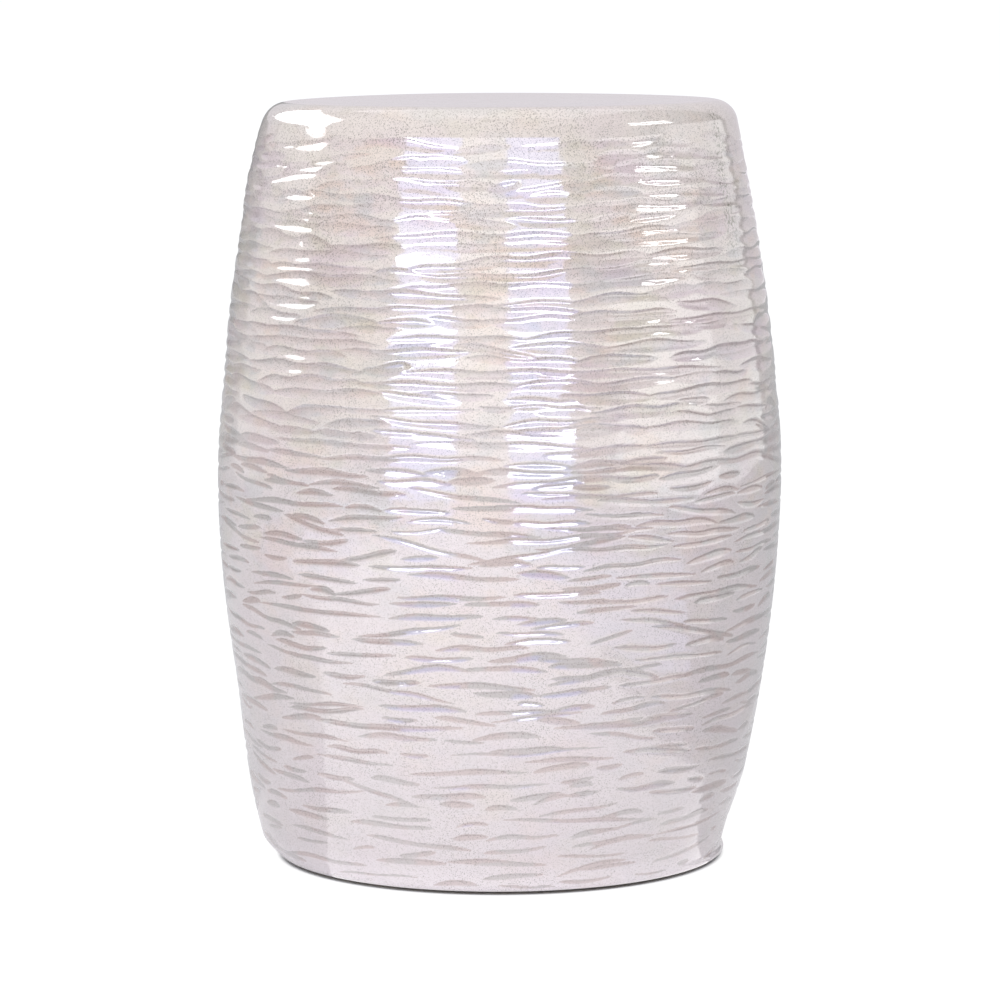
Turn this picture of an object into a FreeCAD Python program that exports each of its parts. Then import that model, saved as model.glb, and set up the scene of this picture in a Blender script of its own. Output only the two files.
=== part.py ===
import FreeCAD, Part
import math
import os

# Ceramic garden stool, in millimetres
# A closed-topped barrel of fired clay, made as potters make it: a turned wall, a seat slab
# luted on its rim with a coil smoothed into the inner corner, a ring turned in at the foot,
# and felt pads stuck under that ring. +Z is up, and the origin is on the floor at the centre.

# Barrel outline: the widest place, and how far the outline has drawn in at four other levels
overall_height = 457.0
belly_diameter = 340.0
belly_height = 222.0
heel_draw = 33.4
lower_draw = 13.5
lower_height = 90.0
upper_draw = 8.7
upper_drop = 117.0
crown_draw = 29.8

# Height taken by the rolled edge of the seat and by the rounded heel
shoulder_roll = 11.6
heel_roll = 4.3

# Clay
wall_at_foot = 11.0
wall_at_rim = 8.5
seat_thickness = 17.0

# Coil smoothed into the corner under the seat
coil_leg = 13.0

# Ring turned in at the foot, with its lip rounded over on top and eased below
foot_ring_width = 24.0
foot_ring_height = 14.0
foot_lip_roll = 8.0
foot_sole_easing = 2.5

# Felt pads under the foot ring
pad_count = 4
pad_diameter = 18.0
pad_thickness = 1.5
pad_first_angle = 45.0

# The turned sections are cut in flats, which on the outside lie within 0.15 mm of its curve
outside_band = 27.5
inside_flats = 15
shoulder_flats = 6
heel_flats = 3
cove_flats = 3
lip_flats = 2
sole_flats = 1

# Levels that follow from the sizes above
belly_radius = belly_diameter / 2
sole_level = pad_thickness
rim_level = overall_height - seat_thickness
upper_height = overall_height - upper_drop
ring_top_level = sole_level + foot_ring_height
coil_bottom_level = rim_level - coil_leg

AXIS_POINT = FreeCAD.Vector(0, 0, 0)
AXIS = FreeCAD.Vector(0, 0, 1)
INWARD = FreeCAD.Vector(-1, 0, 0)


def at(radius, height):
    """A point of a section, in the XZ plane."""
    return FreeCAD.Vector(radius, 0, height)


def even_steps(low, high, count):
    return [low + (high - low) * step / count for step in range(count + 1)]


outside = Part.BSplineCurve()
outside.interpolate([
    at(belly_radius - heel_draw, sole_level),
    at(belly_radius - lower_draw, lower_height),
    at(belly_radius, belly_height),
    at(belly_radius - upper_draw, upper_height),
    at(belly_radius - crown_draw, overall_height),
])


def outside_point(height):
    """Where the outside of the barrel crosses a level."""
    level = Part.LineSegment(at(0, height), at(belly_diameter, height))
    return at(outside.intersect(level)[0].X, height)


def inside_point(height):
    """The same for the inside: the wall thins evenly from the sole to the rim."""
    share = (height - sole_level) / (rim_level - sole_level)
    thickness = wall_at_foot + (wall_at_rim - wall_at_foot) * share
    return outside_point(height) + INWARD * thickness


def line(start, end):
    return Part.LineSegment(start, end).toShape()


def chain(points):
    return [line(start, end) for start, end in zip(points, points[1:])]


def outside_flats(low, high):
    """The outside between two levels, in flats of even height."""
    count = math.ceil((high - low) / outside_band)
    return chain([outside_point(height) for height in even_steps(low, high, count)])


def rounding(start, corner, end, flats):
    """Arc that leaves the start towards the corner and comes in to the end from it, cut in flats."""
    turn = (corner - start).getAngle(end - corner)
    arc = Part.BezierCurve()
    arc.setPoles([start, corner, end])
    arc.setWeight(2, math.cos(turn / 2))
    return chain([arc.value(share) for share in even_steps(0, 1, flats)])


def rolled_end(start_level, end_level):
    """Start, corner and end of the arc that rolls the outside over into a flat level."""
    start = outside_point(start_level)
    direction = FreeCAD.Vector(*outside.tangent(outside.parameter(start))[0])
    corner = start + direction * ((end_level - start_level) / direction.z)
    return start, corner, corner + INWARD * (corner - start).Length


def turned(edges):
    """Solid turned from the closed section that the edges make."""
    wire = Part.Wire(Part.__sortEdges__(edges))
    return Part.Face(wire).revolve(AXIS_POINT, AXIS, 360)


def make_barrel_wall():
    """Turned wall, open at both ends, with a rounded heel, on spline faces for its many bands."""
    heel_start, heel_corner, heel_end = rolled_end(sole_level + heel_roll, sole_level)
    middle_levels = even_steps(ring_top_level, coil_bottom_level, inside_flats)
    inside_points = [inside_point(level) for level in [sole_level, *middle_levels, rim_level]]
    return turned([
        *rounding(heel_start, heel_corner, heel_end, heel_flats),
        *outside_flats(heel_start.z, rim_level),
        line(outside_point(rim_level), inside_points[-1]),
        *chain(inside_points),
        line(inside_points[0], heel_end),
    ]).toNurbs()


def make_seat_slab():
    """Flat slab on the rim, rolled over at its shoulder."""
    roll_start, roll_corner, roll_end = rolled_end(overall_height - shoulder_roll, overall_height)
    return turned([
        *outside_flats(rim_level, roll_start.z),
        *rounding(roll_start, roll_corner, roll_end, shoulder_flats),
        *chain([roll_end, at(0, overall_height), at(0, rim_level), outside_point(rim_level)]),
    ])


def make_seat_coil():
    """Coil of clay smoothed to a cove between the wall and the underside of the slab."""
    corner = inside_point(rim_level)
    wall_end = inside_point(coil_bottom_level)
    slab_end = corner + INWARD * coil_leg
    return turned([
        *rounding(slab_end, corner, wall_end, cove_flats),
        *chain([wall_end, corner, slab_end]),
    ])


def make_foot_ring():
    """Ring turned in from the wall, flat on its sole, with a rounded lip round the mouth."""
    wall_bottom = inside_point(sole_level)
    wall_top = inside_point(ring_top_level)
    mouth_radius = wall_bottom.x - foot_ring_width
    lip_corner = at(mouth_radius, ring_top_level)
    sole_corner = at(mouth_radius, sole_level)
    lip_start = lip_corner - INWARD * foot_lip_roll
    lip_end = lip_corner - AXIS * foot_lip_roll
    sole_start = sole_corner + AXIS * foot_sole_easing
    sole_end = sole_corner - INWARD * foot_sole_easing
    return turned([
        *rounding(lip_start, lip_corner, lip_end, lip_flats),
        line(lip_end, sole_start),
        *rounding(sole_start, sole_corner, sole_end, sole_flats),
        *chain([sole_end, wall_bottom, wall_top, lip_start]),
    ])


def make_floor_pad(index):
    """Felt disc stuck under the middle of the foot ring."""
    circle_radius = inside_point(sole_level).x - foot_ring_width / 2
    angle = math.radians(pad_first_angle + index * 360 / pad_count)
    centre = FreeCAD.Vector(circle_radius * math.cos(angle), circle_radius * math.sin(angle), 0)
    return Part.makeCylinder(pad_diameter / 2, pad_thickness, centre, AXIS)


parts = {
    "barrel_wall": make_barrel_wall(),
    "seat_slab": make_seat_slab(),
    "seat_coil": make_seat_coil(),
    "foot_ring": make_foot_ring(),
}
for index in range(pad_count):
    parts["floor_pad_" + str(index + 1)] = make_floor_pad(index)

os.makedirs("parts", exist_ok=True)
for name, shape in parts.items():
    shape.exportStep("parts/" + name + ".step")
    print(name, "solids", len(shape.Solids), "valid", shape.isValid(), "volume", round(shape.Volume))
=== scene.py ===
import math

import bpy
import numpy as np
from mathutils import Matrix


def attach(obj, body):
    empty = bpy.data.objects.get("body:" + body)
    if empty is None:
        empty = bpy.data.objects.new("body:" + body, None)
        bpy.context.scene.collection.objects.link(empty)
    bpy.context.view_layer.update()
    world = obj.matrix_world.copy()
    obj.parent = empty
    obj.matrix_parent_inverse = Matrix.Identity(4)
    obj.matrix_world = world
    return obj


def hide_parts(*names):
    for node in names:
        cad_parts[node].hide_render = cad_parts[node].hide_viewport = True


# Ceramic garden stool: the looks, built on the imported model. Sections and carving are worked out
# in millimetres and become metres when a mesh is made. The origin is on the floor at the centre,
# +Z is up, and turning angles are counted from the front (-Y) towards +X.

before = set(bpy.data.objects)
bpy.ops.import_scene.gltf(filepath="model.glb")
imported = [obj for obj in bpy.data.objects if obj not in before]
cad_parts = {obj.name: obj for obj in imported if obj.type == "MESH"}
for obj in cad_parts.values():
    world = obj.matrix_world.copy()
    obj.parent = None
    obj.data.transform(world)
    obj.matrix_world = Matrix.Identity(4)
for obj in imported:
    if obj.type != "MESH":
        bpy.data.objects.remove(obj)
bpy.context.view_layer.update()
rng = np.random.default_rng(7742)
MM = 0.001

# Turned sections, with the sizes of the solids: radius and height
OUTLINE = [(136.6, 1.5), (156.5, 90.0), (170.0, 222.0), (161.3, 340.0), (140.2, 457.0)]
SOLE = 1.5
RIM = 440.0
TOP = 457.0
HEEL_START = 5.8
ROLL_START = 445.4
WALL_AT_FOOT = 11.0
WALL_AT_RIM = 8.5
PAD_CIRCLE = 113.6

# Grid of the turned meshes
COLUMNS = 720
ROW_STEP = 0.55
INSIDE_STEP = 4.0
FINE = 3
FIELD_STEP = 0.3

# Swells of the handmade body that the photo shows: millimetres outwards, the angle in the middle
# and the half width in degrees, and the two pairs of levels between which a band rises and falls,
# or the middle level and the spread of a bump
BAND_SWELLS = [
    (-1.6, -95, 70, (434, 452), (470, 480)),
    (5.6, -82, 66, (1, 14), (25, 120)),
    (-3.6, 85, 60, (1, 8), (14, 55)),
]
BUMP_SWELLS = [(0.9, 88, 45, 245, 38), (1.2, -92, 60, 408, 20), (-1.0, -90, 60, 292, 30)]
CROWN_DROP = 0.9
CROWN_WAVE = 0.1

# Inside of the seat's mesh: radii of the rings on its bare underside, from its middle to its edge
UNDERSIDE_RADII = (8, 25, 50, 80, 110, 136)

# Felt pad: radius and height of its section, eased at both edges
PAD_COLUMNS = 72
PAD_SECTION = [
    (3.0, 0.0), (6.0, 0.0), (8.3, 0.0), (8.85, 0.12), (9.0, 0.45),
    (9.0, 1.05), (8.85, 1.4), (8.3, SOLE), (6.0, SOLE), (3.0, SOLE),
]

# Camera, in metres and degrees, with its focal length in frame widths
FOCAL_LENGTH = 4.520
CAMERA_PLACE = (0.0012, -2.717, 0.544)
CAMERA_DOWN = 6.90
CAMERA_ROLL = 0.15

# Floor: half its size in metres, how strongly a camera ray sees it glow, and the distances from
# the centre between which that glow begins, so that the gap under the heel stays dark
FLOOR_HALF = 12.0
FLOOR_COLOUR = (0.76, 0.76, 0.77, 1)
FLOOR_GLOW = 1.15
FLOOR_GLOW_SHARE = 0.85
FLOOR_GLOW_START = 0.1325
FLOOR_GLOW_FULL = 0.1372

# World: its strength as light, in the glaze's mirror and as the white background
WORLD_LIGHT = 0.64
WORLD_MIRRORED = 0.32
WORLD_SEEN = 1.05

# Tints of the lamps
LILAC = (0.40, 0.48, 1.0)
PALE_LILAC = (0.62, 0.68, 1.0)
FLOOR_WHITE = (1.0, 0.97, 0.98)
LIGHT_TARGET = (0.0, 0.0, 0.24)

# Where the run of iron specks comes down, in radians from the front
IRON_RUN_TURN = 1.09

# Sockets of the Mix node, which has several of one name
MIX_NUMBERS = (2, 3)
MIX_COLOURS = (6, 7)
MIXED_COLOUR = 2


# Sections

def slope_at_first(t, p):
    """Slope at the first of four points of the cubic through them."""
    slope = np.zeros(2)
    for i in range(4):
        others = [t[j] for j in range(4) if j != i]
        parts = [np.prod([t[0] - v for v in others if v != left_out]) for left_out in others]
        slope += p[i] * sum(parts) / np.prod([t[i] - v for v in others])
    return slope


def smooth_curve(points, samples=400):
    """Points of the smooth curve through a few given ones, as the turned outline has it."""
    p = np.array(points, float)
    h = np.linalg.norm(np.diff(p, axis=0), axis=1)
    t = np.concatenate([[0], np.cumsum(h)])
    system = np.eye(len(p))
    right = np.zeros((len(p), 2))
    right[0] = slope_at_first(t[:4], p[:4])
    right[-1] = slope_at_first(t[::-1][:4], p[::-1][:4])
    for i in range(1, len(p) - 1):
        system[i, i - 1:i + 2] = h[i], 2 * (h[i - 1] + h[i]), h[i - 1]
        right[i] = 3 * (h[i] * (p[i] - p[i - 1]) / h[i - 1] + h[i - 1] * (p[i + 1] - p[i]) / h[i])
    m = np.linalg.solve(system, right)
    u = np.linspace(0, 1, samples)[:, None]
    pieces = []
    for i in range(len(p) - 1):
        ends = (1 + 2 * u) * (1 - u) ** 2 * p[i] + u * u * (3 - 2 * u) * p[i + 1]
        pieces.append(ends + (u * (1 - u) ** 2 * m[i] + u * u * (u - 1) * m[i + 1]) * h[i])
    return np.concatenate(pieces)


CURVE = smooth_curve(OUTLINE)


def outside(height):
    return np.interp(height, CURVE[:, 1], CURVE[:, 0])


def inside(height):
    share = (height - SOLE) / (RIM - SOLE)
    return outside(height) - WALL_AT_FOOT - (WALL_AT_RIM - WALL_AT_FOOT) * share


def rolled(start_level, end_level, count):
    """Points of the arc that rolls the outside over into a flat level."""
    start = np.array([outside(start_level), start_level])
    lean = (outside(start_level + 0.5) - outside(start_level - 0.5))
    corner = start + np.array([lean, 1.0]) * (end_level - start_level)
    leg = np.linalg.norm(corner - start)
    end = corner - np.array([leg, 0.0])
    along = (corner - start) / leg
    weight = math.cos(math.acos(-along[0]) / 2)
    u = np.linspace(0, 1, count)[:, None]
    mix = [(1 - u) ** 2, 2 * u * (1 - u) * weight, u * u]
    return (mix[0] * start + mix[1] * corner + mix[2] * end) / sum(mix)


# Small helpers over heights and angles

def smooth_step(x, low, high):
    t = np.clip((x - low) / (high - low), 0, 1)
    return t * t * (3 - 2 * t)


def swell(angle, centre, half_width):
    """A smooth swelling round an angle, in degrees: 1 at the centre, 0 past the half width."""
    off = np.abs((angle - centre + 180) % 360 - 180)
    return np.cos(np.clip(off / half_width, 0, 1) * math.pi / 2) ** 2


# Handmade body: where the real clay stands off the turned shape

def body_swell(angle, height):
    """Millimetres outwards."""
    turn = np.radians(angle)
    out = 0.0
    for size, middle, half_width, rise, fall in BAND_SWELLS:
        band = smooth_step(height, *rise) * (1 - smooth_step(height, *fall))
        out = out + size * swell(angle, middle, half_width) * band
    for size, middle, half_width, level, spread in BUMP_SWELLS:
        out = out + size * swell(angle, middle, half_width) * np.exp(-((height - level) / spread) ** 2)
    out = out + 0.35 * np.sin(2 * turn + 0.8 + height / 160)
    out = out + 0.25 * np.sin(3 * turn + 2.1 - height / 90)
    return out * smooth_step(height, 0, 8)


def crown_drop(angle, radius):
    """Millimetres down, for the seat's edge."""
    edge = smooth_step(radius, 70, 138)
    wave = 1 + np.sin(3 * np.radians(angle) + 1)
    return (CROWN_DROP * swell(angle, -98, 85) + CROWN_WAVE * wave) * edge


# Carving

KEY_LEVELS = [0, 12, 40, 100, 184, 230, 262, 290, 366, 420, 442]
PITCH = [7.6, 7.6, 7.6, 7.5, 7.1, 6.9, 7.0, 7.3, 7.2, 6.8, 6.6]
HALF_WIDTH = [1.3, 1.6, 1.85, 1.95, 1.75, 1.9, 2.5, 3.3, 3.8, 3.5, 3.0]
DEPTH = [0.3, 0.55, 0.8, 0.95, 0.85, 0.72, 0.7, 0.76, 0.7, 0.5, 0.2]
LENGTH = [30, 34, 40, 45, 42, 46, 56, 68, 78, 62, 52]
GAP = [26, 18, 10, 7, 4, 1, -4, -10, -13, -12, -10]
TILT_NOISE = [0.06, 0.06, 0.05, 0.05, 0.055, 0.05, 0.035, 0.022, 0.022, 0.03, 0.04]
SKEW = 0.45
CROSSING = 0.2
FIRST_LEVEL = 9.0
LAST_LEVEL = 441.0


def at_level(height, values):
    return float(np.interp(height, KEY_LEVELS, values))


def make_waves():
    """Slow waves that neighbouring rows of gouges share."""
    waves = []
    for k in (1, 2, 3, 5, 7):
        phase = rng.uniform(0, 2 * math.pi)
        drift = rng.uniform(-0.02, 0.02)
        waves.append((k, phase, drift, 1.2 / k ** 0.5))
    return waves


def wave_offset(waves, turn, level):
    return sum(size * math.sin(k * turn + phase + drift * level) for k, phase, drift, size in waves)


def cut_gouge(field, shade, centre_turn, level, length, half_width, depth, tilt, bend, blunt, wobble):
    """One pull of the gouge: deepest in the middle, and steeper on its upper side.

    Above it is a round scoop, and below a chisel cut with a flat lower side. The depth goes into
    field where it is deeper than before, and shade then says how near the cut's top a point is.
    """
    rows, columns = field.shape
    radius = float(outside(level))
    column_step = 2 * math.pi * radius / columns
    reach = int(length / 2 / column_step) + 1
    middle = centre_turn / (2 * math.pi) * columns
    picked = np.arange(int(middle) - reach, int(middle) + reach + 1)
    along = (picked - middle) * column_step
    share = np.clip(np.abs(along) / (length / 2), 0, 1)
    taper = (1 - share ** blunt)
    line = level + tilt * along + bend * (along / length) ** 2
    line = line + wobble[0] * np.sin(along / wobble[1] + wobble[2])
    width = half_width * taper ** 0.6 * (1 + 0.14 * np.sin(along / 7.0 + wobble[2])) + 1e-6
    tallest = half_width * 1.2 + np.abs(line - level).max()
    low = max(int((level - tallest) / FIELD_STEP), 0)
    high = min(int((level + tallest) / FIELD_STEP) + 2, rows)
    if low >= high:
        return
    heights = (np.arange(low, high) * FIELD_STEP)[:, None]
    off = (heights - line[None, :]) / width[None, :]
    rounded = np.clip(1 - off * off, 0, 1) * (1 + SKEW * off)
    chiselled = np.clip(np.minimum((off + 1) / 1.65, (1 - off) / 0.35), 0, 1)
    chisel = float(smooth_step(level, 320, 235))
    scoop = depth * taper[None, :] ** 0.8 * (rounded + (chiselled - rounded) * chisel)
    where = np.ix_(range(low, high), picked % columns)
    deeper = scoop > field[where]
    field[where] = np.where(deeper, scoop, field[where])
    shade[where] = np.where(deeper, np.clip((off + 1) / 2, 0, 1), shade[where])


def blurred(field, sigma_rows, sigma_columns):
    """Soft melt of the glaze over the cuts, round the ring and up the wall."""
    for axis, sigma in ((0, sigma_rows), (1, sigma_columns)):
        reach = int(3 * sigma) + 1
        weights = np.exp(-(np.arange(-reach, reach + 1) / sigma) ** 2 / 2)
        weights /= weights.sum()
        pad = ((reach, reach), (0, 0)) if axis == 0 else ((0, 0), (reach, reach))
        padded = np.pad(field, pad, mode="edge" if axis == 0 else "wrap")
        size = field.shape[axis]
        parts = []
        for i, weight in enumerate(weights):
            parts.append(weight * (padded[i:i + size] if axis == 0 else padded[:, i:i + size]))
        field = sum(parts)
    return field


def carve():
    """Depth of the carving in millimetres over height and turn, and how near the top of its cut each
    point is, from 0 to 1."""
    field = np.zeros((int(TOP / FIELD_STEP) + 1, COLUMNS * FINE))
    shade = np.zeros(field.shape)
    waves = make_waves()
    level = FIRST_LEVEL
    while level < LAST_LEVEL:
        radius = float(outside(level))
        girth = 2 * math.pi * radius
        pitch = at_level(level, PITCH)
        place = rng.uniform(0, 60)
        end = place + girth
        while place < end:
            length = at_level(level, LENGTH) * float(np.clip(rng.lognormal(0, 0.42), 0.35, 2.4))
            turn = (place + length / 2) / radius
            offset = wave_offset(waves, turn, level)
            ahead = wave_offset(waves, turn + 0.02, level)
            tilt = (ahead - offset) / (0.02 * radius) + rng.normal(0, at_level(level, TILT_NOISE))
            tilt += 0.15 * float(swell(math.degrees(turn), -50, 26)) * float(smooth_step(level, 388, 402))
            if rng.uniform() < CROSSING:
                tilt += rng.choice([-1, 1]) * rng.uniform(0.06, 0.15)
                length *= 0.7
            jitter = rng.normal(0, 0.2) * pitch
            middle = level + offset + jitter
            grown = float(np.clip(rng.normal(1, 0.2), 0.55, 1.45))
            cut_gouge(
                field,
                shade,
                turn,
                middle,
                length,
                at_level(middle, HALF_WIDTH) * grown,
                at_level(middle, DEPTH) * float(np.clip(rng.normal(1, 0.2), 0.5, 1.5)),
                tilt,
                rng.normal(0, 3.0),
                rng.uniform(1.8, 3.6),
                (rng.uniform(0.1, 0.7), rng.uniform(5, 10), rng.uniform(0, 6.28)),
            )
            place += length + at_level(level, GAP) * rng.uniform(0.3, 1.7)
        level += pitch * rng.uniform(0.94, 1.06)
    return blurred(field, 0.42 / FIELD_STEP, 1.8), blurred(shade, 0.4, 0.4)


# Meshes

def new_object(name, vertices, faces):
    mesh = bpy.data.meshes.new(name)
    mesh.vertices.add(len(vertices))
    mesh.vertices.foreach_set("co", np.ascontiguousarray(vertices * MM, np.float32).ravel())
    corners = np.concatenate([block.ravel() for block in faces])
    counts = np.concatenate([np.full(len(block), block.shape[1]) for block in faces])
    starts = np.concatenate([[0], np.cumsum(counts)[:-1]])
    mesh.loops.add(len(corners))
    mesh.loops.foreach_set("vertex_index", corners.astype(np.int32))
    mesh.polygons.add(len(counts))
    mesh.polygons.foreach_set("loop_start", starts.astype(np.int32))
    mesh.update(calc_edges=True)
    mesh.validate()
    piece = bpy.data.objects.new(name, mesh)
    bpy.context.scene.collection.objects.link(piece)
    return piece


def ring_faces(first_ring, second_ring, columns):
    """Quads between two rings of vertices, given by the index of their first vertex."""
    here = np.arange(columns)
    ahead = (here + 1) % columns
    return np.stack([first_ring + here, first_ring + ahead, second_ring + ahead, second_ring + here], axis=1)


def points_round(radii, heights, angles):
    turn = np.radians(angles)
    return np.stack([radii * np.sin(turn), -radii * np.cos(turn), heights], axis=1)


def set_uv(piece, corner_u, corner_v):
    layer = piece.data.uv_layers.new(name="OFBake")
    layer.data.foreach_set("uv", np.stack([corner_u, corner_v], axis=1).astype(np.float32).ravel())


def finish_piece(piece, materials, sharp=None):
    for material in materials:
        piece.data.materials.append(material)
    piece.data.polygons.foreach_set("use_smooth", np.ones(len(piece.data.polygons), bool))
    if sharp:
        piece.data.set_sharp_from_angle(angle=math.radians(sharp))
    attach(piece, "root")


ANGLES = np.arange(COLUMNS) * 360 / COLUMNS
FIELD, SHADE = carve()


def sampled(field, heights):
    """Values of a field at the mesh's columns, one row for each height."""
    columns = (np.arange(COLUMNS) * FINE)
    place = np.clip(heights / FIELD_STEP, 0, len(field) - 1.001)
    low = place.astype(int)
    share = (place - low)[:, None]
    return field[low][:, columns] * (1 - share) + field[low + 1][:, columns] * share


def add_values(piece, name, values):
    layer = piece.data.attributes.new(name, "FLOAT", "POINT")
    layer.data.foreach_set("value", np.ascontiguousarray(values, np.float32).ravel())


def carved_rings(radii, heights):
    """Rings of vertices for the outside, carved and handmade, and how deep each point is cut."""
    depth = sampled(FIELD, heights)
    angles = np.broadcast_to(ANGLES, depth.shape)
    r = radii[:, None] + body_swell(angles, heights[:, None]) - depth
    drop = crown_drop(angles, r) * smooth_step(heights[:, None], 400, TOP)
    z = np.broadcast_to(heights[:, None], depth.shape) - drop
    return r, z, depth, sampled(SHADE, heights)


def turned_mesh(rings, closed):
    """Mesh from rings (radii, heights) of one vertex for each column, joined in order."""
    vertices = np.concatenate([points_round(r, z, ANGLES) for r, z in rings])
    faces = [ring_faces(i * COLUMNS, (i + 1) * COLUMNS, COLUMNS) for i in range(len(rings) - 1)]
    if closed:
        faces.append(ring_faces((len(rings) - 1) * COLUMNS, 0, COLUMNS))
    return vertices, faces


def make_wall(glaze, clay):
    """The carved barrel wall: glazed outside, bare clay inside and on the sole."""
    heel = rolled(HEEL_START, SOLE, 9)[::-1]
    count = int((RIM - HEEL_START) / ROW_STEP)
    levels = np.linspace(HEEL_START, RIM, count + 1)[1:]
    radii = np.concatenate([heel[:, 0], outside(levels)])
    heights = np.concatenate([heel[:, 1], levels])
    r, z, depth, shade = carved_rings(radii, heights)
    inner_levels = np.linspace(RIM, SOLE, int((RIM - SOLE) / INSIDE_STEP) + 1)
    ridge = 0.25 * np.sin(inner_levels[:, None] / 9.0 + np.radians(ANGLES)[None, :])
    clear = smooth_step(inner_levels, 16, 30) * (1 - smooth_step(inner_levels, 415, 426))
    inner = inside(inner_levels)[:, None] + ridge * clear[:, None]
    rings = [(r[i], z[i]) for i in range(len(r))]
    rings += [(inner[i], np.full(COLUMNS, inner_levels[i])) for i in range(len(inner))]
    vertices, faces = turned_mesh(rings, True)
    piece = new_object("carved_wall", vertices, faces)
    outer_faces = (len(r) - 1) * COLUMNS
    material_index = np.ones(len(piece.data.polygons), np.int32)
    material_index[:outer_faces] = 0
    piece.data.polygons.foreach_set("material_index", material_index)
    rest = np.zeros(len(vertices) - depth.size)
    add_values(piece, "cut", np.concatenate([depth.ravel(), rest]))
    add_values(piece, "shade", np.concatenate([shade.ravel(), rest]))
    set_ring_uv(piece, len(rings), outer_faces, 0.0)
    finish_piece(piece, [glaze, clay], sharp=62)
    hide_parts("barrel_wall")
    return piece


def set_ring_uv(piece, ring_count, outer_faces, gap):
    """Map for the wall: the outside in the upper part of the square, the rest below it."""
    share = outer_faces / COLUMNS
    face = np.arange(len(piece.data.polygons))
    column = face % COLUMNS
    row = face // COLUMNS
    outer = row < share
    u_low = column / COLUMNS
    u_high = (column + 1) / COLUMNS
    rest = ring_count - share
    v_low = np.where(outer, 0.22 + 0.78 * row / share, 0.2 * (row - share) / rest)
    v_high = np.where(outer, 0.22 + 0.78 * (row + 1) / share, 0.2 * (row + 1 - share) / rest)
    u = np.stack([u_low, u_high, u_high, u_low], axis=1).ravel()
    v = np.stack([v_low, v_low, v_high, v_high], axis=1).ravel()
    set_uv(piece, u, v)


def make_seat(glaze, clay):
    """The seat slab: rolled shoulder, a top that is nearly flat, and a bare underside."""
    roll = rolled(ROLL_START, TOP, 26)
    side_levels = np.linspace(RIM, ROLL_START, 11)[:-1]
    top_radii = np.concatenate([np.linspace(roll[-1, 0], 12, 62)[1:], [8.0, 4.0]])
    radii = np.concatenate([outside(side_levels), roll[:, 0], top_radii])
    heights = np.concatenate([side_levels, roll[:, 1], np.full(len(top_radii), TOP)])
    r, z, depth, shade = carved_rings(radii, heights)
    turning = 0.10 * np.sin(r / 5.2 + np.radians(ANGLES)[None, :]) * (heights[:, None] > TOP - 0.01)
    dish = 0.5 * (1 - smooth_step(r, 40, 128)) * (heights[:, None] > TOP - 0.01)
    z = z - np.abs(turning) - dish
    rings = [(r[i], z[i]) for i in range(len(r))]
    underside = [(np.full(COLUMNS, float(radius)), np.full(COLUMNS, RIM)) for radius in UNDERSIDE_RADII]
    rings = underside + rings
    vertices, faces = turned_mesh(rings, False)
    under = len(underside)
    centres = np.array([[0, 0, RIM], [0, 0, float(z[-1].mean())]])
    bottom, top = len(vertices), len(vertices) + 1
    vertices = np.concatenate([vertices, centres])
    here = np.arange(COLUMNS)
    ahead = (here + 1) % COLUMNS
    last = (len(rings) - 1) * COLUMNS
    faces.append(np.stack([ahead, here, np.full(COLUMNS, bottom)], axis=1))
    faces.append(np.stack([last + here, last + ahead, np.full(COLUMNS, top)], axis=1))
    piece = new_object("glazed_seat", vertices, faces)
    material_index = np.zeros(len(piece.data.polygons), np.int32)
    material_index[:under * COLUMNS] = 1
    material_index[-2 * COLUMNS:-COLUMNS] = 1
    piece.data.polygons.foreach_set("material_index", material_index)
    zeros = np.zeros(under * COLUMNS)
    add_values(piece, "cut", np.concatenate([zeros, depth.ravel(), np.zeros(2)]))
    add_values(piece, "shade", np.concatenate([zeros, shade.ravel(), np.zeros(2)]))
    set_plan_uv(piece)
    finish_piece(piece, [glaze, clay], sharp=62)
    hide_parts("seat_slab")
    return piece


def set_plan_uv(piece):
    """Map for a disc: seen from above on the left, and from below on the right."""
    mesh = piece.data
    index = np.zeros(len(mesh.loops), np.int32)
    mesh.loops.foreach_get("vertex_index", index)
    co = np.zeros(len(mesh.vertices) * 3, np.float32)
    mesh.vertices.foreach_get("co", co)
    co = co.reshape(-1, 3)[index]
    totals = np.zeros(len(mesh.polygons), np.int32)
    mesh.polygons.foreach_get("loop_total", totals)
    material_index = np.zeros(len(mesh.polygons), np.int32)
    mesh.polygons.foreach_get("material_index", material_index)
    below = np.repeat(material_index == 1, totals)
    radius = np.hypot(co[:, 0], co[:, 1])
    spread = radius + (TOP * MM - co[:, 2]) * (~below)
    stretch = np.where(radius > 1e-6, spread / np.maximum(radius, 1e-6), 1) / 0.165 / 4
    set_uv(piece, np.where(below, 0.75, 0.25) + co[:, 0] * stretch, 0.5 + co[:, 1] * stretch * 2)


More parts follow.
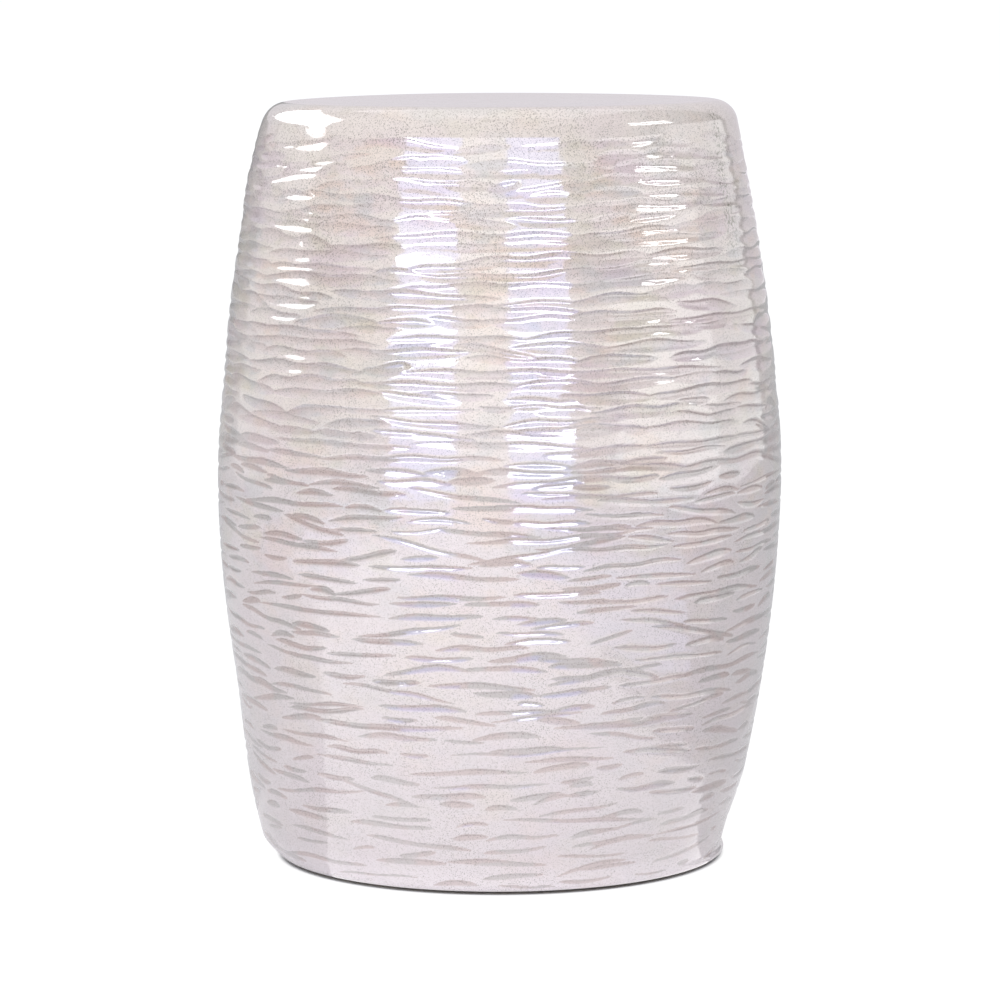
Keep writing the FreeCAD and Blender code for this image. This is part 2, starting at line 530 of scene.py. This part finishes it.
def make_pad(index, felt):
    """A felt disc, a little fuzzy at its edge."""
    turn = math.radians(45 + 90 * index)
    centre = np.array([PAD_CIRCLE * math.cos(turn), PAD_CIRCLE * math.sin(turn), 0.0])
    around = PAD_COLUMNS
    angle = np.radians(np.arange(around) * 360 / around)
    ragged = 1 + rng.normal(0, 0.006, around)
    rings = []
    for radius, height in PAD_SECTION:
        reach = radius * (ragged if radius > 8 else 1.0)
        ring = [reach * np.cos(angle), reach * np.sin(angle), np.full(around, height)]
        rings.append(np.stack(ring, axis=1))
    vertices = np.concatenate(rings + [np.array([[0, 0, 0.0], [0, 0, SOLE]])]) + centre
    faces = [ring_faces(i * around, (i + 1) * around, around) for i in range(len(rings) - 1)]
    here = np.arange(around)
    ahead = (here + 1) % around
    last = (len(rings) - 1) * around
    faces.append(np.stack([ahead, here, np.full(around, len(vertices) - 2)], axis=1))
    faces.append(np.stack([last + here, last + ahead, np.full(around, len(vertices) - 1)], axis=1))
    piece = new_object("felt_pad_" + str(index + 1), vertices, faces)
    finish_piece(piece, [felt], sharp=50)
    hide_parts("floor_pad_" + str(index + 1))


# Materials

class Shader:
    """Short hand for a node tree that ends in one Principled shader."""

    def __init__(self, name, **constants):
        self.material = bpy.data.materials.new(name)
        self.material.use_nodes = True
        self.tree = self.material.node_tree
        self.bsdf = self.tree.nodes["Principled BSDF"]
        for socket, value in constants.items():
            self.bsdf.inputs[socket.replace("_", " ")].default_value = value

    def node(self, kind, **settings):
        node = self.tree.nodes.new(kind)
        for key, value in settings.items():
            setattr(node, key, value)
        return node

    def link(self, value, socket):
        if isinstance(value, bpy.types.NodeSocket):
            self.tree.links.new(value, socket)
        else:
            socket.default_value = value

    def place(self, scale=(1, 1, 1)):
        mapping = self.node("ShaderNodeMapping")
        mapping.inputs["Scale"].default_value = scale
        self.link(self.node("ShaderNodeTexCoord").outputs["Object"], mapping.inputs["Vector"])
        return mapping.outputs["Vector"]

    def noise(self, vector, scale, detail=3.0, roughness=0.5):
        node = self.node("ShaderNodeTexNoise")
        self.link(vector, node.inputs["Vector"])
        node.inputs["Scale"].default_value = scale
        node.inputs["Detail"].default_value = detail
        node.inputs["Roughness"].default_value = roughness
        return node.outputs["Fac"]

    def cells(self, vector, scale):
        node = self.node("ShaderNodeTexVoronoi")
        self.link(vector, node.inputs["Vector"])
        node.inputs["Scale"].default_value = scale
        return node

    def ranged(self, value, low, high, to_low=0.0, to_high=1.0):
        node = self.node("ShaderNodeMapRange", interpolation_type="SMOOTHSTEP")
        self.link(value, node.inputs["Value"])
        ends = {"From Min": low, "From Max": high, "To Min": to_low, "To Max": to_high}
        for socket, number in ends.items():
            node.inputs[socket].default_value = number
        return node.outputs["Result"]

    def math(self, operation, first, second=0.0):
        node = self.node("ShaderNodeMath", operation=operation)
        self.link(first, node.inputs[0])
        self.link(second, node.inputs[1])
        return node.outputs["Value"]

    def mix(self, share, first, second, blend="MIX"):
        node = self.node("ShaderNodeMix", data_type="RGBA", blend_type=blend)
        self.link(share, node.inputs["Factor"])
        self.link(first, node.inputs[MIX_COLOURS[0]])
        self.link(second, node.inputs[MIX_COLOURS[1]])
        return node.outputs[MIXED_COLOUR]

    def attribute(self, name):
        return self.node("ShaderNodeAttribute", attribute_name=name).outputs["Fac"]

    def height(self):
        split = self.node("ShaderNodeSeparateXYZ")
        self.link(self.node("ShaderNodeTexCoord").outputs["Object"], split.inputs[0])
        return split.outputs["Z"]

    def finish(self, colour, roughness=None, bump=None, strength=0.3, distance=0.001):
        self.link(colour, self.bsdf.inputs["Base Color"])
        if roughness is not None:
            self.link(roughness, self.bsdf.inputs["Roughness"])
        if bump is not None:
            node = self.node("ShaderNodeBump")
            node.inputs["Strength"].default_value = strength
            node.inputs["Distance"].default_value = distance
            self.link(bump, node.inputs["Height"])
            self.link(node.outputs["Normal"], self.bsdf.inputs["Normal"])
        return self.material


def colour(red, green, blue):
    """A colour as it is seen on a screen, from 0 to 255, made linear."""
    values = [channel / 255 for channel in (red, green, blue)]
    return tuple(v / 12.92 if v < 0.04 else ((v + 0.055) / 1.055) ** 2.4 for v in values) + (1.0,)


def iron_run(s, place, height):
    """Clumps of iron specks gathered in a thin run down the right shoulder."""
    split = s.node("ShaderNodeSeparateXYZ")
    s.link(place, split.inputs[0])
    turn = s.math("ARCTAN2", split.outputs["X"], s.math("MULTIPLY", split.outputs["Y"], -1.0))
    drift = s.math("MULTIPLY", s.math("SUBTRACT", s.noise(place, 45.0, 2.0), 0.5), 0.10)
    off = s.math("ABSOLUTE", s.math("SUBTRACT", s.math("ADD", turn, drift), IRON_RUN_TURN))
    span = s.math("MULTIPLY", s.ranged(height, 0.34, 0.39), s.ranged(height, 0.4535, 0.4500))
    line = s.math("MULTIPLY", s.ranged(off, 0.055, 0.012), span)
    clumps = s.ranged(s.noise(place, 420.0, 3.0, 0.7), 0.50, 0.60)
    return s.math("MULTIPLY", s.math("MULTIPLY", line, clumps), 0.85)


def glaze_ground(s, flat, height, cut):
    """Pale ground in drifting tints, a little greyer at the foot, with paler crests above."""
    upper = s.ranged(height, 0.22, 0.30)
    body = s.mix(upper, colour(226, 216, 218), colour(234, 222, 220))
    body = s.mix(s.ranged(height, 0.17, 0.05), body, colour(220, 211, 214))
    tints = [
        ((232, 208, 191), 22.0, 0.50, 0.66, 0.55),
        ((212, 208, 186), 25.0, 0.50, 0.66, 0.50),
        ((196, 200, 204), 27.0, 0.50, 0.66, 0.50),
        ((214, 192, 208), 18.0, 0.48, 0.66, 0.45),
    ]
    tinted = s.ranged(height, 0.12, 0.30, 0.25, 1.0)
    for number, (tint, scale, low, high, strength) in enumerate(tints):
        shifted = s.node("ShaderNodeVectorMath", operation="ADD")
        s.link(flat, shifted.inputs[0])
        shifted.inputs[1].default_value = (7.3 * number, 3.1 * number, 5.7 * number)
        patch = s.ranged(s.noise(shifted.outputs["Vector"], scale, 3.0, 0.6), low, high, 0.0, strength)
        body = s.mix(s.math("MULTIPLY", patch, tinted), body, colour(*tint))
    crest = s.math("MULTIPLY", s.ranged(cut, 0.22, 0.02), s.math("MULTIPLY", upper, 0.6))
    body = s.mix(crest, body, colour(238, 229, 222))
    return body


def glaze_pools(s, body, place, flat, height, cut, shade):
    """Darker glaze in the cuts, pooled glaze plus painted shade toward their upper sides, with a thin broken
    line along the upper side of each, also part painted shade; and painted light that makes the foot paler.
    """
    top_fade = s.ranged(height, 0.34, 0.43, 1.0, 0.22)
    warm_or_grey = s.ranged(s.noise(flat, 34.0, 2.0), 0.44, 0.58)
    pool_and_shade_tint = s.mix(warm_or_grey, colour(184, 162, 158), colour(172, 166, 164))
    # Darker toward the top of each cut: partly pooled glaze, partly painted shade where the cut's upper side
    # faces down.
    pool_and_shade = s.math("MULTIPLY", s.ranged(shade, 0.10, 0.95, 0.0, 0.52), top_fade)
    low_strength = s.ranged(height, 0.06, 0.19, 0.60, 0.80)
    low_strength = s.math("MULTIPLY", low_strength, s.ranged(height, 0.23, 0.30, 1.0, 0.0))
    low_pool_and_shade = s.math("MULTIPLY", s.ranged(shade, 0.02, 0.40), low_strength)
    # Painted light: the glaze is made paler over the lowest 24 mm, to lift the shade that the floor leaves
    # on the foot.
    body = s.mix(s.ranged(height, 0.024, 0.003, 0.0, 0.55), body, colour(246, 238, 243))
    body = s.mix(s.math("MAXIMUM", pool_and_shade, low_pool_and_shade), body, pool_and_shade_tint)
    # Thin broken dark line along the top of each cut: partly pooled glaze, partly painted shade of its steep
    # upper wall.
    grit = s.ranged(s.noise(place, 1500.0, 1.0, 0.6), 0.45, 0.60)
    deep_enough = s.ranged(cut, 0.05, 0.16, 0.0, 0.52)
    edge = s.math("MULTIPLY", s.ranged(shade, 0.62, 0.92), deep_enough)
    patchy = s.ranged(s.noise(flat, 60.0, 2.0), 0.35, 0.6, 0.25, 1.0)
    broken = s.math("ADD", s.math("MULTIPLY", grit, 0.6), 0.4)
    edge = s.math("MULTIPLY", s.math("MULTIPLY", edge, patchy), broken)
    body = s.mix(s.math("MULTIPLY", edge, top_fade), body, colour(126, 112, 112))
    return body


def glaze_specks(s, body, place, height, shade):
    """Freckles, stipple, fine streaks and the iron run, and a painted shadow along the edge of the sole."""
    clouds = s.ranged(s.noise(place, 30.0, 2.0), 0.4, 0.65, 0.0, 0.08)
    dense = s.math("ADD", s.ranged(shade, 0.3, 0.9, 0.0, 0.10), clouds)
    dense = s.math("ADD", dense, s.ranged(height, 0.30, 0.42, 0.0, 0.06))
    grain = s.cells(place, 1050.0)
    freckle = s.math("LESS_THAN", grain.outputs["Distance"], s.math("ADD", dense, 0.24))
    freckle = s.math("MULTIPLY", freckle, s.math("GREATER_THAN", s.noise(place, 700.0, 1.0), 0.45))
    body = s.mix(s.math("MULTIPLY", freckle, 0.6), body, colour(116, 106, 98))
    stipple = s.ranged(s.noise(place, 1700.0, 1.0, 0.6), 0.56, 0.64, 0.0, 0.32)
    body = s.mix(stipple, body, colour(140, 128, 124))
    streaks = s.ranged(s.noise(s.place((1, 1, 2.2)), 380.0, 4.0, 0.7), 0.50, 0.66, 0.0, 0.14)
    body = s.mix(streaks, body, colour(156, 146, 136))
    body = s.mix(iron_run(s, place, height), body, colour(118, 116, 98))
    # Painted shadow: a dark blue-grey band on the heel below 2.4 mm stands in for the contact shadow under
    # the sole.
    body = s.mix(s.ranged(height, 0.0024, 0.0018), body, colour(96, 84, 104))
    return body


def pearl_glaze():
    """Pearl glaze: pale lustre in drifting tints, darker in the cuts from pooled glaze and painted shade,
    freckled, with painted light at the foot and a painted shadow along the sole.
    """
    s = Shader("pearl_glaze", IOR=1.75, Coat_Weight=0.6, Coat_Roughness=0.03)
    place = s.place()
    flat = s.place((1, 1, 1.7))
    cut = s.attribute("cut")
    shade = s.attribute("shade")
    height = s.height()
    body = glaze_ground(s, flat, height, cut)
    body = glaze_pools(s, body, place, flat, height, cut, shade)
    body = glaze_specks(s, body, place, height, shade)
    ripple = s.noise(place, 180.0, 2.0, 0.5)
    rough = s.ranged(s.noise(place, 90.0, 2.0), 0.3, 0.7, 0.045, 0.10)
    return s.finish(body, rough, ripple, 0.25, 0.0004)


def bare_clay():
    """Unglazed fired clay: grog, fine pits and warm drifting colour."""
    s = Shader("bare_clay", IOR=1.5)
    place = s.place()
    drifting = s.ranged(s.noise(place, 14.0, 4.0), 0.35, 0.65)
    body = s.mix(drifting, colour(206, 188, 166), colour(226, 212, 194))
    grog = s.cells(place, 520.0)
    speck = s.math("MULTIPLY", s.math("LESS_THAN", grog.outputs["Distance"], 0.22), 0.5)
    body = s.mix(speck, body, colour(150, 122, 98))
    swells = s.math("MULTIPLY", s.noise(place, 60.0, 3.0), 0.8)
    relief = s.math("ADD", s.noise(place, 420.0, 4.0, 0.6), swells)
    return s.finish(body, s.ranged(s.noise(place, 80.0), 0.3, 0.7, 0.62, 0.85), relief, 0.5, 0.0008)


def pressed_felt():
    """Dark felt: short crossing fibres."""
    s = Shader("pressed_felt", Sheen_Weight=0.4, Sheen_Roughness=0.5)
    first = s.noise(s.place((1, 5, 1)), 900.0, 4.0, 0.7)
    second = s.noise(s.place((5, 1, 1)), 900.0, 4.0, 0.7)
    fibres = s.math("MAXIMUM", first, second)
    body = s.mix(s.ranged(fibres, 0.4, 0.75), colour(52, 48, 46), colour(112, 104, 98))
    return s.finish(body, 0.95, fibres, 0.8, 0.0006)


# Scene

def aim(thing, target):
    direction = np.array(target) - np.array(thing.location)
    thing.rotation_euler = (
        math.atan2(math.hypot(direction[0], direction[1]), -direction[2]),
        0.0,
        math.atan2(direction[1], direction[0]) - math.pi / 2,
    )


def lamp_from(name, width, depth, radiance, tint, lights_body):
    """Area light seen by its radiance; it is mirrored in the glaze, and may also light the clay."""
    light = bpy.data.lights.new(name, "AREA")
    light.shape = "RECTANGLE"
    light.size = width
    light.size_y = depth
    light.energy = radiance * math.pi * width * depth
    light.color = tint
    lamp = bpy.data.objects.new(name, light)
    bpy.context.scene.collection.objects.link(lamp)
    lamp.visible_camera = False
    lamp.visible_diffuse = lights_body
    return lamp


def panel(name, azimuth, width, low, high, distance, radiance, tint=(1, 1, 1), lights_body=False):
    """Upright soft panel, placed by the directions it fills as seen from the stool, in degrees."""
    turn = math.radians(azimuth)
    bottom = LIGHT_TARGET[2] + distance * math.tan(math.radians(low))
    top = LIGHT_TARGET[2] + distance * math.tan(math.radians(high))
    across = 2 * distance * math.tan(math.radians(width / 2))
    lamp = lamp_from(name, across, top - bottom, radiance, tint, lights_body)
    lamp.location = (distance * math.sin(turn), -distance * math.cos(turn), (bottom + top) / 2)
    aim(lamp, (0, 0, (bottom + top) / 2))
    return lamp


def floor_card(name, azimuth, width, near, far, radiance, tint):
    """Pale card on the floor in front, which the lower wall mirrors."""
    turn = math.radians(azimuth)
    middle = (near + far) / 2
    across = 2 * middle * math.tan(math.radians(width / 2))
    lamp = lamp_from(name, across, far - near, radiance, tint, False)
    lamp.location = (middle * math.sin(turn), -middle * math.cos(turn), 0.002)
    lamp.rotation_euler = (math.pi, 0, -turn)


def floor_bounce():
    """Light that a pale floor throws back at the lower wall from all round."""
    lamp = lamp_from("floor_bounce", 2.4, 2.4, 0.09, (1.0, 0.97, 0.98), True)
    lamp.location = (-0.9, -0.3, 0.002)
    lamp.rotation_euler = (math.pi, 0, 0)


def overhead():
    lamp = lamp_from("overhead", 2.4, 2.4, 0.6, (1, 1, 1), True)
    lamp.location = (0, 0.3, 2.6)


def make_camera():
    data = bpy.data.cameras.new("view")
    data.sensor_width = 36.0
    data.lens = data.sensor_width * FOCAL_LENGTH
    camera = bpy.data.objects.new("view", data)
    bpy.context.scene.collection.objects.link(camera)
    camera.location = CAMERA_PLACE
    camera.rotation_euler = (math.radians(90 - CAMERA_DOWN), math.radians(CAMERA_ROLL), 0.0)
    bpy.context.scene.camera = camera


def make_floor():
    """Pale seamless floor that keeps the stool's shadow."""
    mesh = bpy.data.meshes.new("floor")
    half = FLOOR_HALF
    corners = [(-half, -half, 0), (half, -half, 0), (half, half, 0), (-half, half, 0)]
    mesh.from_pydata(corners, [], [(0, 1, 2, 3)])
    floor = bpy.data.objects.new("floor", mesh)
    bpy.context.scene.collection.objects.link(floor)
    material = bpy.data.materials.new("pale_floor")
    material.use_nodes = True
    tree = material.node_tree
    tree.nodes.remove(tree.nodes["Principled BSDF"])
    diffuse = tree.nodes.new("ShaderNodeBsdfDiffuse")
    diffuse.inputs["Color"].default_value = FLOOR_COLOUR
    glow = tree.nodes.new("ShaderNodeEmission")
    glow.inputs["Strength"].default_value = FLOOR_GLOW
    mix = tree.nodes.new("ShaderNodeMixShader")
    path = tree.nodes.new("ShaderNodeLightPath")
    place = tree.nodes.new("ShaderNodeTexCoord")
    away = tree.nodes.new("ShaderNodeVectorMath")
    away.operation = "LENGTH"
    tree.links.new(place.outputs["Object"], away.inputs[0])
    clear = tree.nodes.new("ShaderNodeMapRange")
    clear.interpolation_type = "SMOOTHSTEP"
    tree.links.new(away.outputs["Value"], clear.inputs["Value"])
    clear.inputs["From Min"].default_value = FLOOR_GLOW_START
    clear.inputs["From Max"].default_value = FLOOR_GLOW_FULL
    clear.inputs["To Max"].default_value = FLOOR_GLOW_SHARE
    share = tree.nodes.new("ShaderNodeMath")
    share.operation = "MULTIPLY"
    tree.links.new(clear.outputs["Result"], share.inputs[1])
    tree.links.new(path.outputs["Is Camera Ray"], share.inputs[0])
    tree.links.new(share.outputs[0], mix.inputs[0])
    tree.links.new(diffuse.outputs[0], mix.inputs[1])
    tree.links.new(glow.outputs[0], mix.inputs[2])
    tree.links.new(mix.outputs[0], tree.nodes["Material Output"].inputs["Surface"])
    mesh.materials.append(material)


def make_world():
    world = bpy.data.worlds.new("studio")
    bpy.context.scene.world = world
    world.use_nodes = True
    tree = world.node_tree
    back = tree.nodes["Background"]
    back.inputs["Color"].default_value = (0.97, 0.98, 1.0, 1)
    path = tree.nodes.new("ShaderNodeLightPath")
    for ray, strength_seen in (("Is Camera Ray", WORLD_SEEN), ("Is Glossy Ray", WORLD_MIRRORED)):
        strength = tree.nodes.new("ShaderNodeMix")
        tree.links.new(path.outputs[ray], strength.inputs["Factor"])
        if back.inputs["Strength"].is_linked:
            tree.links.new(back.inputs["Strength"].links[0].from_socket, strength.inputs[MIX_NUMBERS[0]])
        else:
            strength.inputs[MIX_NUMBERS[0]].default_value = WORLD_LIGHT
        strength.inputs[MIX_NUMBERS[1]].default_value = strength_seen
        tree.links.new(strength.outputs[0], back.inputs["Strength"])


def keep_off(lamps, piece):
    """Leaves a piece out of what some lamps light."""
    left_out = bpy.data.collections.new(piece.name + "_left_out")
    left_out.objects.link(piece)
    left_out.collection_objects[0].light_linking.link_state = "EXCLUDE"
    for lamp in lamps:
        lamp.light_linking.receiver_collection = left_out


def make_lights(seat):
    """Two windows with cross bars, side panels, pale cards on the floor and soft light for the clay.

    The windows and what is between them leave the seat out, because its flat top would mirror
    them to a camera behind the stool and burn out to white.
    """
    windows = []
    for side, azimuth, width in (("left", -30, 26), ("right", 17, 24)):
        windows.append(panel("window_sill_" + side, azimuth, width, 9, 12, 2.4, 13.0))
        windows.append(panel("window_head_" + side, azimuth, width, 13, 16, 2.4, 13.0))
        windows.append(panel("window_glow_" + side, azimuth, width + 1, -5, 30, 2.5, 2.5, LILAC))
        floor_card("window_foot_" + side, azimuth, width + 1, 0.2, 2.5, 0.9, PALE_LILAC)
    floor_card("foot_glow", -10, 56, 0.15, 2.4, 0.85, FLOOR_WHITE)
    floor_card("foot_glow_wide", -20, 80, 0.15, 2.4, 0.15, FLOOR_WHITE)
    windows.append(panel("between_windows", -6, 21, -5, 30, 2.5, 1.2))
    panel("side_left_glow", -112, 40, -8, 19, 2.4, 0.35)
    panel("side_right_glow", 64, 68, -8, 15, 2.4, 0.9)
    panel("side_right_glow_wide", 90, 88, -10, 19, 2.3, 0.9)
    panel("side_left", -120, 58, 19.5, 43, 2.2, 5.0)
    panel("side_right_low", 80, 26, 24, 26.4, 2.4, 10.0)
    panel("side_right_high", 80, 26, 29, 31.4, 2.4, 10.0)
    panel("backdrop", 162, 48, 0, 60, 2.4, 0.40, (1.0, 0.90, 0.98))
    panel("backdrop_high", 206, 40, 11, 60, 2.4, 0.36, (1.0, 0.93, 1.0))
    panel("front", -14, 70, 0, 40, 3.0, 1.72, lights_body=True).visible_glossy = False
    floor_bounce()
    overhead()
    keep_off(windows, seat)


glaze = pearl_glaze()
clay = bare_clay()
felt = pressed_felt()
make_wall(glaze, clay)
seat = make_seat(glaze, clay)
for index in range(4):
    make_pad(index, felt)
for node in ("seat_coil", "foot_ring"):
    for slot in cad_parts[node].material_slots:
        slot.material = clay
make_camera()
make_floor()
make_world()
make_lights(seat)
bpy.context.scene.view_settings.view_transform = "Standard"
